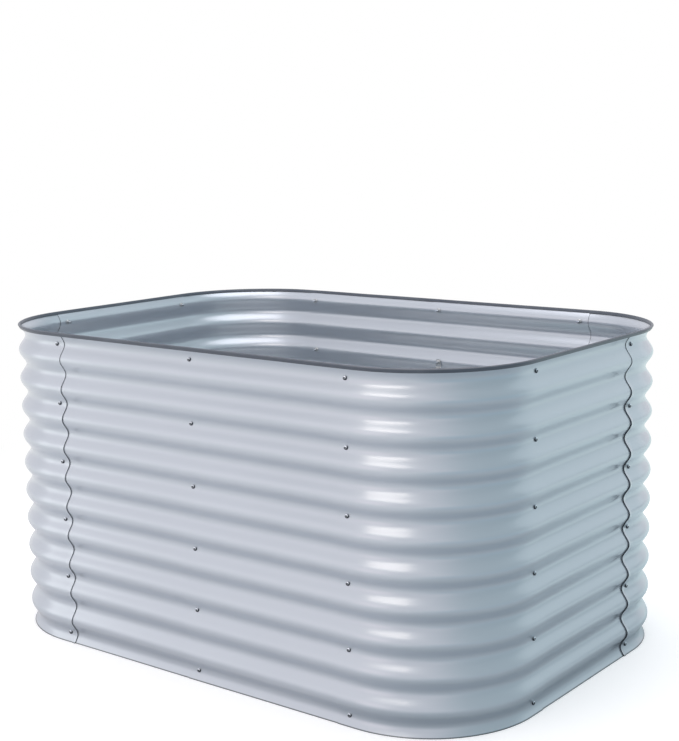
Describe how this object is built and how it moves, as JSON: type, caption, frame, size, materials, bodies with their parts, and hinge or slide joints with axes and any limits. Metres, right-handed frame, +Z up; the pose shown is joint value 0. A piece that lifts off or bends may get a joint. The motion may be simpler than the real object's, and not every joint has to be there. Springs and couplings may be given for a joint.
{
  "type": "raised garden bed",
  "caption": "Tall raised garden bed: corrugated painted steel panels bolted into a rounded rectangle, open at top and bottom, with a soft rim edging and bracing rods.",
  "frame": {"origin": "on the ground, under the middle of the bed", "axes": "+X along the long walls, towards the right end; +Y towards the back wall; +Z up"},
  "size_m": [1.5466, 1.0894, 0.8161],
  "materials": {
    "painted_sheet": "satin-gloss baked paint, pale silver-blue",
    "soft_edging": "matt moulded strip, dark slate",
    "stainless_bolt": "plain stainless",
    "zinc_plate": "bright zinc plating"
  },
  "bodies": {
    "root": {"corner_panel_front_right": "painted_sheet", "corner_panel_back_right": "painted_sheet", "corner_panel_back_left": "painted_sheet", "corner_panel_front_left": "painted_sheet", "side_panel_front_1": "painted_sheet", "side_panel_front_2": "painted_sheet", "end_panel_right": "painted_sheet", "side_panel_back_1": "painted_sheet", "side_panel_back_2": "painted_sheet", "end_panel_left": "painted_sheet", "rim_edging": "soft_edging", "bracing_rod_upper": "zinc_plate", "bracing_rod_lower": "zinc_plate", "bolt_front_seam_1_row_1": "stainless_bolt", "bolt_front_seam_1_row_6": "stainless_bolt", "bolt_front_seam_2_row_1": "stainless_bolt", "bolt_front_seam_2_row_2": "stainless_bolt", "bolt_front_seam_2_row_5": "stainless_bolt", "bolt_front_seam_3_row_1": "stainless_bolt", "bolt_front_seam_3_row_6": "stainless_bolt", "bolt_right_seam_1_row_1": "stainless_bolt", "bolt_right_seam_1_row_6": "stainless_bolt", "bolt_right_seam_2_row_1": "stainless_bolt", "bolt_right_seam_2_row_6": "stainless_bolt", "bolt_back_seam_1_row_1": "stainless_bolt", "bolt_back_seam_1_row_6": "stainless_bolt", "bolt_back_seam_2_row_1": "stainless_bolt", "bolt_back_seam_2_row_2": "stainless_bolt", "bolt_back_seam_2_row_5": "stainless_bolt", "bolt_back_seam_3_row_1": "stainless_bolt", "bolt_back_seam_3_row_6": "stainless_bolt", "bolt_left_seam_1_row_1": "stainless_bolt", "bolt_left_seam_1_row_6": "stainless_bolt", "bolt_left_seam_2_row_1": "stainless_bolt", "bolt_left_seam_2_row_6": "stainless_bolt", "nut_front_seam_1_row_1": "zinc_plate", "nut_front_seam_1_row_6": "zinc_plate", "nut_front_seam_2_row_1": "zinc_plate", "nut_front_seam_2_row_2": "zinc_plate", "nut_front_seam_2_row_5": "zinc_plate", "nut_front_seam_3_row_1": "zinc_plate", "nut_front_seam_3_row_6": "zinc_plate", "nut_right_seam_1_row_1": "zinc_plate", "nut_right_seam_1_row_6": "zinc_plate", "nut_right_seam_2_row_1": "zinc_plate", "nut_right_seam_2_row_6": "zinc_plate", "nut_back_seam_1_row_1": "zinc_plate", "nut_back_seam_1_row_6": "zinc_plate", "nut_back_seam_2_row_1": "zinc_plate", "nut_back_seam_2_row_2": "zinc_plate", "nut_back_seam_2_row_5": "zinc_plate", "nut_back_seam_3_row_1": "zinc_plate", "nut_back_seam_3_row_6": "zinc_plate", "nut_left_seam_1_row_1": "zinc_plate", "nut_left_seam_1_row_6": "zinc_plate", "nut_left_seam_2_row_1": "zinc_plate", "nut_left_seam_2_row_6": "zinc_plate"}
  },
  "joints": []
}
